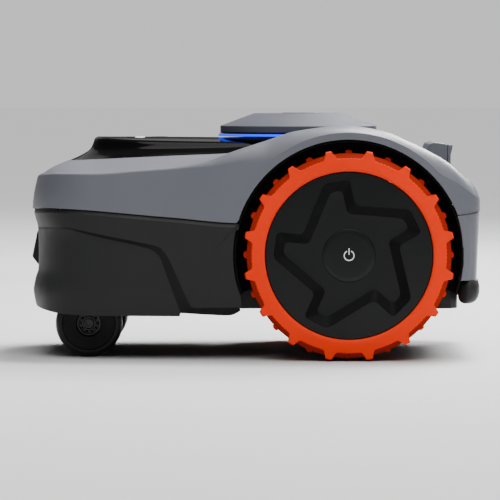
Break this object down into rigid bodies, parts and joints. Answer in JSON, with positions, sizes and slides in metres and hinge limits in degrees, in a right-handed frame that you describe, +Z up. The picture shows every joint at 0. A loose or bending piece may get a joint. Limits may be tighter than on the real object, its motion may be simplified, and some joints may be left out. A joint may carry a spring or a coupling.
{
  "type": "robotic lawn mower",
  "caption": "Robotic lawn mower with large lugged rear drive wheels, front swivel casters, satellite antenna pod, light ring and a height-adjustable cutting disc under the hull.",
  "frame": {"origin": "on the ground under the middle of the machine's bounding box", "axes": "+X to the rear, -X to the nose, +Y to the machine's left side, +Z up"},
  "size_m": [0.5454, 0.385, 0.2948],
  "materials": {
    "shell_grey": "satin moulded plastic with a fine texture",
    "skirt_black": "matt black moulded plastic",
    "deck_gloss": "high gloss black moulded plastic",
    "hub_black": "semi-gloss black moulded plastic",
    "tyre_orange": "moulded orange tyre compound",
    "caster_black": "matt black moulded plastic",
    "light_blue": "translucent lit light guide",
    "steel": "bright machined steel",
    "motor_metal": "die-cast motor housing",
    "contact_brass": "plated spring contact",
    "board_green": "printed circuit board",
    "battery_grey": "shrink-wrapped cell pack",
    "display_glass": "dark display window",
    "key_white": "satin pale key caps",
    "stop_red": "red push button"
  },
  "bodies": {
    "chassis": {"battery_cover": "skirt_black", "battery_pack": "battery_grey", "carry_handle": "shell_grey", "charge_contact_left": "contact_brass", "charge_contact_right": "contact_brass", "charge_housing": "skirt_black", "chassis_cover": "skirt_black", "chassis_tub": "skirt_black", "display_window": "display_glass", "gnss_board": "board_green", "guide_rod_left": "steel", "guide_rod_right": "steel", "height_motor": "motor_metal", "light_ring": "light_blue", "main_board": "board_green", "pod_cap": "shell_grey", "pod_cover": "shell_grey", "pod_neck": "deck_gloss", "rear_bumper": "skirt_black", "rear_panel": "shell_grey", "top_deck": "deck_gloss", "upper_shell": "shell_grey", "wheel_motor_left": "motor_metal", "wheel_motor_right": "motor_metal", "wheel_well_left": "skirt_black", "wheel_well_right": "skirt_black"},
    "bumper": {"front_bumper": "skirt_black"},
    "stop_button": {"stop_button": "stop_red"},
    "power_key": {"power_key": "key_white"},
    "start_key": {"start_key": "key_white"},
    "home_key": {"home_key": "key_white"},
    "lift_screw": {"lead_screw": "steel"},
    "carriage": {"cutting_carriage": "skirt_black", "blade_motor": "motor_metal"},
    "cutting_disc": {"blade_disc": "skirt_black"},
    "blade_1": {"blade_1": "steel"},
    "blade_2": {"blade_2": "steel"},
    "blade_3": {"blade_3": "steel"},
    "drive_wheel_left": {"drive_axle_left": "steel", "wheel_rim_left": "hub_black", "tyre_left": "tyre_orange", "hub_cover_left": "hub_black", "hub_cap_left": "hub_black"},
    "caster_swivel_left": {"caster_arm_left": "caster_black", "caster_axle_left": "steel"},
    "caster_roll_left": {"caster_wheel_left": "caster_black", "caster_tyre_left": "caster_black", "caster_bearing_left": "steel"},
    "drive_wheel_right": {"drive_axle_right": "steel", "wheel_rim_right": "hub_black", "tyre_right": "tyre_orange", "hub_cover_right": "hub_black", "hub_cap_right": "hub_black"},
    "caster_swivel_right": {"caster_arm_right": "caster_black", "caster_axle_right": "steel"},
    "caster_roll_right": {"caster_wheel_right": "caster_black", "caster_tyre_right": "caster_black", "caster_bearing_right": "steel"}
  },
  "joints": [
    {"name": "drive_wheel_left_spin", "type": "hinge", "parent": "chassis", "child": "drive_wheel_left", "pos_m": [0.1133, 0.167, 0.126], "axis": [0, 1, 0], "continuous": true},
    {"name": "caster_left_swivel", "type": "hinge", "parent": "chassis", "child": "caster_swivel_left", "pos_m": [-0.1815, 0.1, 0.09], "axis": [0, 0, 1], "continuous": true},
    {"name": "caster_left_roll", "type": "hinge", "parent": "caster_swivel_left", "child": "caster_roll_left", "pos_m": [-0.1995, 0.1, 0.0405], "axis": [0, 1, 0], "continuous": true},
    {"name": "drive_wheel_right_spin", "type": "hinge", "parent": "chassis", "child": "drive_wheel_right", "pos_m": [0.1133, -0.167, 0.126], "axis": [0, 1, 0], "continuous": true},
    {"name": "caster_right_swivel", "type": "hinge", "parent": "chassis", "child": "caster_swivel_right", "pos_m": [-0.1815, -0.1, 0.09], "axis": [0, 0, 1], "continuous": true},
    {"name": "caster_right_roll", "type": "hinge", "parent": "caster_swivel_right", "child": "caster_roll_right", "pos_m": [-0.1995, -0.1, 0.0405], "axis": [0, 1, 0], "continuous": true},
    {"name": "bumper_slide", "type": "slide", "parent": "chassis", "child": "bumper", "axis": [1, 0, 0], "range_m": [0, 0.004], "stiffness_N_per_m": 2500},
    {"name": "stop_button_press", "type": "slide", "parent": "chassis", "child": "stop_button", "axis": [0, 0, -1], "range_m": [0, 0.003], "stiffness_N_per_m": 700},
    {"name": "power_key_press", "type": "slide", "parent": "chassis", "child": "power_key", "axis": [0, 0, -1], "range_m": [0, 0.001], "stiffness_N_per_m": 900},
    {"name": "start_key_press", "type": "slide", "parent": "chassis", "child": "start_key", "axis": [0, 0, -1], "range_m": [0, 0.001], "stiffness_N_per_m": 900},
    {"name": "home_key_press", "type": "slide", "parent": "chassis", "child": "home_key", "axis": [0, 0, -1], "range_m": [0, 0.001], "stiffness_N_per_m": 900},
    {"name": "cutting_height", "type": "slide", "parent": "chassis", "child": "carriage", "axis": [0, 0, 1], "range_m": [-0.04, 0]},
    {"name": "lift_screw_turn", "type": "hinge", "parent": "chassis", "child": "lift_screw", "pos_m": [-0.005, 0, 0.15], "axis": [0, 0, 1], "range_deg": [-1805, 5]},
    {"name": "cutting_disc_spin", "type": "hinge", "parent": "carriage", "child": "cutting_disc", "pos_m": [-0.05, 0, 0.0645], "axis": [0, 0, 1], "continuous": true},
    {"name": "blade_1_pivot", "type": "hinge", "parent": "cutting_disc", "child": "blade_1", "pos_m": [0.014, 0, 0.0591], "axis": [0, 0, 1], "continuous": true},
    {"name": "blade_2_pivot", "type": "hinge", "parent": "cutting_disc", "child": "blade_2", "pos_m": [-0.082, 0.05543, 0.0591], "axis": [0, 0, 1], "continuous": true},
    {"name": "blade_3_pivot", "type": "hinge", "parent": "cutting_disc", "child": "blade_3", "pos_m": [-0.082, -0.05543, 0.0591], "axis": [0, 0, 1], "continuous": true}
  ],
  "couplings": [
    {"joint": "lift_screw_turn", "follows": "cutting_height", "rad_per_m": 785.4}
  ]
}
